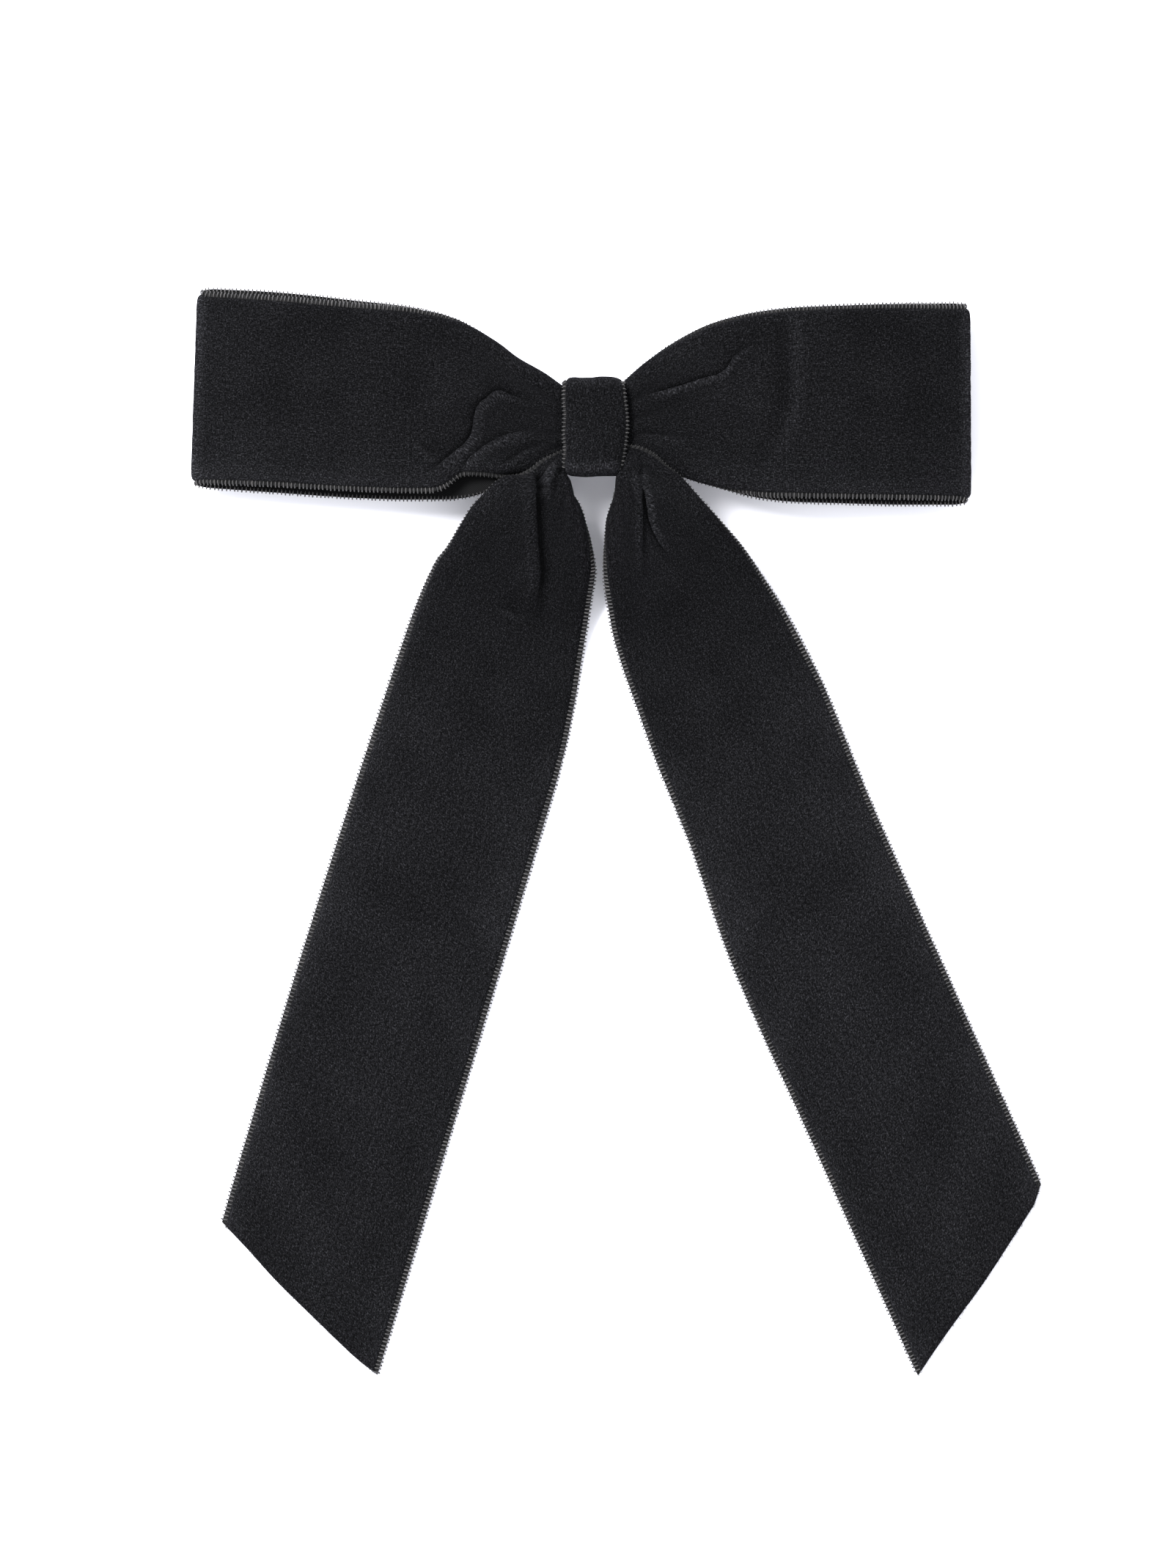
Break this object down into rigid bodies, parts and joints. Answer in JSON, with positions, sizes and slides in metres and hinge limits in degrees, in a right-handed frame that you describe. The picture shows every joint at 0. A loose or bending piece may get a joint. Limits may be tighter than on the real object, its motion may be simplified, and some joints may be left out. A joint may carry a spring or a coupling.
{
  "type": "hair bow",
  "caption": "Velvet ribbon hair bow with flattened loops, slanted tails and a wrapped knot on a hinged steel hair barrette.",
  "frame": {"origin": "middle of the barrette's flat rear face, the outer face of the clasp arm, straight behind the knot", "axes": "+Z out of the front of the bow, +Y up as it is worn, from the tails to the loops, +X to the right as seen from the front"},
  "size_m": [0.1762, 0.225, 0.019],
  "materials": {
    "velvet": "short black pile, matt with a faint sheen, woven picot edges",
    "thread": "black polyester sewing thread",
    "felt": "black needle felt",
    "steel": "nickel-plated spring steel, satin"
  },
  "bodies": {
    "bow": {"left_loop": "velvet", "right_loop": "velvet", "tail_gather": "velvet", "knot_wrap": "velvet", "gathering_thread": "thread", "felt_pad": "felt", "wrap_stitch_1": "thread", "wrap_stitch_2": "thread", "wrap_stitch_3": "thread", "bar_stitch_left": "thread", "bar_stitch_right": "thread", "base_bar": "steel", "hinge_pin": "steel"},
    "left_tail": {"left_tail": "velvet"},
    "right_tail": {"right_tail": "velvet"},
    "clasp_arm": {"clasp_arm": "steel"},
    "tension_spring": {"tension_spring": "steel"},
    "latch_prong_upper": {"latch_prong_upper": "steel"},
    "latch_prong_lower": {"latch_prong_lower": "steel"}
  },
  "joints": [
    {"name": "left_tail_lift", "type": "hinge", "parent": "bow", "child": "left_tail", "pos_m": [-0.0148, -0.01515, 0.018], "axis": [-1, 0, 0], "range_deg": [0, 75]},
    {"name": "right_tail_lift", "type": "hinge", "parent": "bow", "child": "right_tail", "pos_m": [0.0124, -0.01515, 0.018], "axis": [-1, 0, 0], "range_deg": [0, 75]},
    {"name": "clasp_hinge", "type": "hinge", "parent": "bow", "child": "clasp_arm", "pos_m": [-0.038, 0, 0.002], "axis": [0, 1, 0], "range_deg": [0, 70]},
    {"name": "spring_hinge", "type": "hinge", "parent": "bow", "child": "tension_spring", "pos_m": [-0.038, 0, 0.002], "axis": [0, 1, 0], "range_deg": [0, 35]},
    {"name": "upper_prong_pinch", "type": "hinge", "parent": "bow", "child": "latch_prong_upper", "pos_m": [0.0375, 0.0021, 0.0037], "axis": [-1, 0, 0], "range_deg": [0, 8], "stiffness_Nm_per_rad": 0.02},
    {"name": "lower_prong_pinch", "type": "hinge", "parent": "bow", "child": "latch_prong_lower", "pos_m": [0.0375, -0.0021, 0.0037], "axis": [1, 0, 0], "range_deg": [0, 8], "stiffness_Nm_per_rad": 0.02}
  ],
  "couplings": [
    {"joint": "spring_hinge", "follows": "clasp_hinge", "ratio": 0.5}
  ]
}
